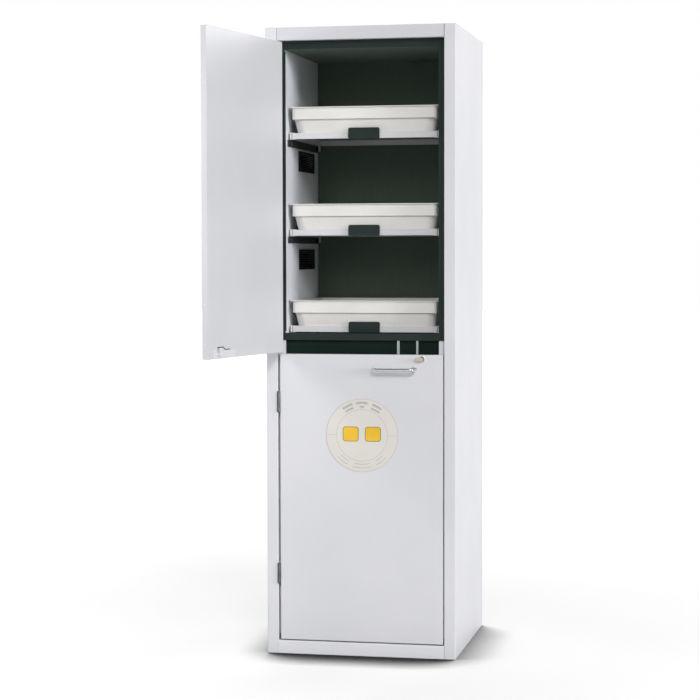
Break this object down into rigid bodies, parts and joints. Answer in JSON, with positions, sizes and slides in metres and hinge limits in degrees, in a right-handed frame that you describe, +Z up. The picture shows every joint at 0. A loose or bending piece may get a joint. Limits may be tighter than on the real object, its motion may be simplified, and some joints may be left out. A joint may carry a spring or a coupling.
{
  "type": "acid storage cabinet",
  "caption": "Tall floor-standing storage cabinet with left-hinged upper and lower doors, key locks, bow handles, louvred vents and roller pull-outs that carry deep plastic trays.",
  "frame": {"origin": "on the floor, at the middle of the casing's footprint", "axes": "+Z up, +X to the right seen from the front, -Y out of the front"},
  "size_m": [0.6781, 1.1195, 1.965],
  "materials": {
    "casing_paint": "satin powder coat, light grey",
    "door_paint": "satin powder coat, light grey",
    "white_paint": "satin powder coat, white",
    "coated_board": "melamine-faced particle board",
    "core_board": "bare board inside the doors",
    "dark_trim": "matte, anthracite",
    "tray_plastic": "semi-gloss, cream",
    "dark_plastic": "matte, near black",
    "roller_plastic": "matte, dark grey",
    "hinge_steel": "dark phosphated steel",
    "zinc_steel": "bright zinc",
    "chrome": "polished",
    "lock_nickel": "satin nickel",
    "key_brass": "satin",
    "disc_film": "satin printed film"
  },
  "bodies": {
    "cabinet": {"left_side_panel": "casing_paint", "right_side_panel": "casing_paint", "top_cover": "casing_paint", "rear_panel": "casing_paint", "fascia": "casing_paint", "plinth": "casing_paint", "base_frame": "zinc_steel", "levelling_screws": "zinc_steel", "lower_side_liners": "coated_board", "upper_side_liners": "coated_board", "floor_liner": "coated_board", "ceiling_liner": "coated_board", "back_liner": "coated_board", "divider_panel": "coated_board", "upper_edge_trim": "dark_trim", "cross_beam": "zinc_steel", "exhaust_collar": "zinc_steel", "vent_grilles": "dark_plastic", "strike_bracket": "zinc_steel", "frame_hinges": "hinge_steel", "upper_fixed_rails": "white_paint", "lower_shelves": "white_paint", "lower_trays": "tray_plastic", "lower_grips": "dark_plastic", "lower_rails": "white_paint"},
    "lower_door": {"lower_door_shell": "door_paint", "lower_door_core": "core_board", "lower_door_inner_sheet": "door_paint", "lower_door_hinges": "hinge_steel", "lower_handle": "chrome", "lower_lock_case": "lock_nickel", "lower_door_disc": "disc_film"},
    "upper_door": {"upper_door_shell": "door_paint", "upper_door_core": "core_board", "upper_door_inner_sheet": "door_paint", "upper_door_hinges": "hinge_steel", "upper_handle": "chrome", "upper_lock_case": "lock_nickel", "upper_latch_lever": "dark_plastic"},
    "lower_lock": {"lower_lock_cylinder": "lock_nickel", "lower_lock_key": "key_brass"},
    "upper_lock": {"upper_lock_cylinder": "lock_nickel"},
    "pull_out_1": {"pull_out_1_shelf": "white_paint", "pull_out_1_tray": "tray_plastic", "pull_out_1_grip": "dark_plastic", "pull_out_1_rails": "white_paint"},
    "front_rollers_1": {"pull_out_1_front_rollers": "roller_plastic"},
    "rear_rollers_1": {"pull_out_1_rear_rollers": "roller_plastic"},
    "pull_out_2": {"pull_out_2_shelf": "white_paint", "pull_out_2_tray": "tray_plastic", "pull_out_2_grip": "dark_plastic", "pull_out_2_rails": "white_paint"},
    "front_rollers_2": {"pull_out_2_front_rollers": "roller_plastic"},
    "rear_rollers_2": {"pull_out_2_rear_rollers": "roller_plastic"},
    "pull_out_3": {"pull_out_3_shelf": "white_paint", "pull_out_3_tray": "tray_plastic", "pull_out_3_grip": "dark_plastic", "pull_out_3_rails": "white_paint"},
    "front_rollers_3": {"pull_out_3_front_rollers": "roller_plastic"},
    "rear_rollers_3": {"pull_out_3_rear_rollers": "roller_plastic"}
  },
  "joints": [
    {"name": "lower_door_hinge", "type": "hinge", "parent": "cabinet", "child": "lower_door", "pos_m": [-0.2615, -0.3025, 0.5257], "axis": [0, 0, -1], "range_deg": [0, 115]},
    {"name": "upper_door_hinge", "type": "hinge", "parent": "cabinet", "child": "upper_door", "pos_m": [-0.2615, -0.3025, 1.44725], "axis": [0, 0, -1], "range_deg": [-101.4, 13.6]},
    {"name": "lower_lock_turn", "type": "hinge", "parent": "lower_door", "child": "lower_lock", "pos_m": [0.196, -0.3015, 0.934], "axis": [0, 1, 0], "range_deg": [0, 90]},
    {"name": "upper_lock_turn", "type": "hinge", "parent": "upper_door", "child": "upper_lock", "pos_m": [-0.35095, -0.75117, 0.967], "axis": [-0.9803, 0.1977, 0], "range_deg": [0, 90]},
    {"name": "pull_out_1_slide", "type": "slide", "parent": "cabinet", "child": "pull_out_1", "axis": [0, -1, 0], "range_m": [0, 0.3]},
    {"name": "front_rollers_1_turn", "type": "hinge", "parent": "cabinet", "child": "front_rollers_1", "pos_m": [0, -0.2185, 1.61], "axis": [1, 0, 0], "continuous": true},
    {"name": "rear_rollers_1_turn", "type": "hinge", "parent": "pull_out_1", "child": "rear_rollers_1", "pos_m": [0, 0.1685, 1.6089], "axis": [1, 0, 0], "continuous": true},
    {"name": "pull_out_2_slide", "type": "slide", "parent": "cabinet", "child": "pull_out_2", "axis": [0, -1, 0], "range_m": [0, 0.3]},
    {"name": "front_rollers_2_turn", "type": "hinge", "parent": "cabinet", "child": "front_rollers_2", "pos_m": [0, -0.2185, 1.306], "axis": [1, 0, 0], "continuous": true},
    {"name": "rear_rollers_2_turn", "type": "hinge", "parent": "pull_out_2", "child": "rear_rollers_2", "pos_m": [0, 0.1685, 1.3049], "axis": [1, 0, 0], "continuous": true},
    {"name": "pull_out_3_slide", "type": "slide", "parent": "cabinet", "child": "pull_out_3", "axis": [0, -1, 0], "range_m": [0, 0.3]},
    {"name": "front_rollers_3_turn", "type": "hinge", "parent": "cabinet", "child": "front_rollers_3", "pos_m": [0, -0.2185, 1.002], "axis": [1, 0, 0], "continuous": true},
    {"name": "rear_rollers_3_turn", "type": "hinge", "parent": "pull_out_3", "child": "rear_rollers_3", "pos_m": [0, 0.1685, 1.0009], "axis": [1, 0, 0], "continuous": true}
  ],
  "couplings": [
    {"joint": "front_rollers_1_turn", "follows": "pull_out_1_slide", "rad_per_m": 95.238},
    {"joint": "rear_rollers_1_turn", "follows": "pull_out_1_slide", "rad_per_m": 109.89},
    {"joint": "front_rollers_2_turn", "follows": "pull_out_2_slide", "rad_per_m": 95.238},
    {"joint": "rear_rollers_2_turn", "follows": "pull_out_2_slide", "rad_per_m": 109.89},
    {"joint": "front_rollers_3_turn", "follows": "pull_out_3_slide", "rad_per_m": 95.238},
    {"joint": "rear_rollers_3_turn", "follows": "pull_out_3_slide", "rad_per_m": 109.89}
  ]
}
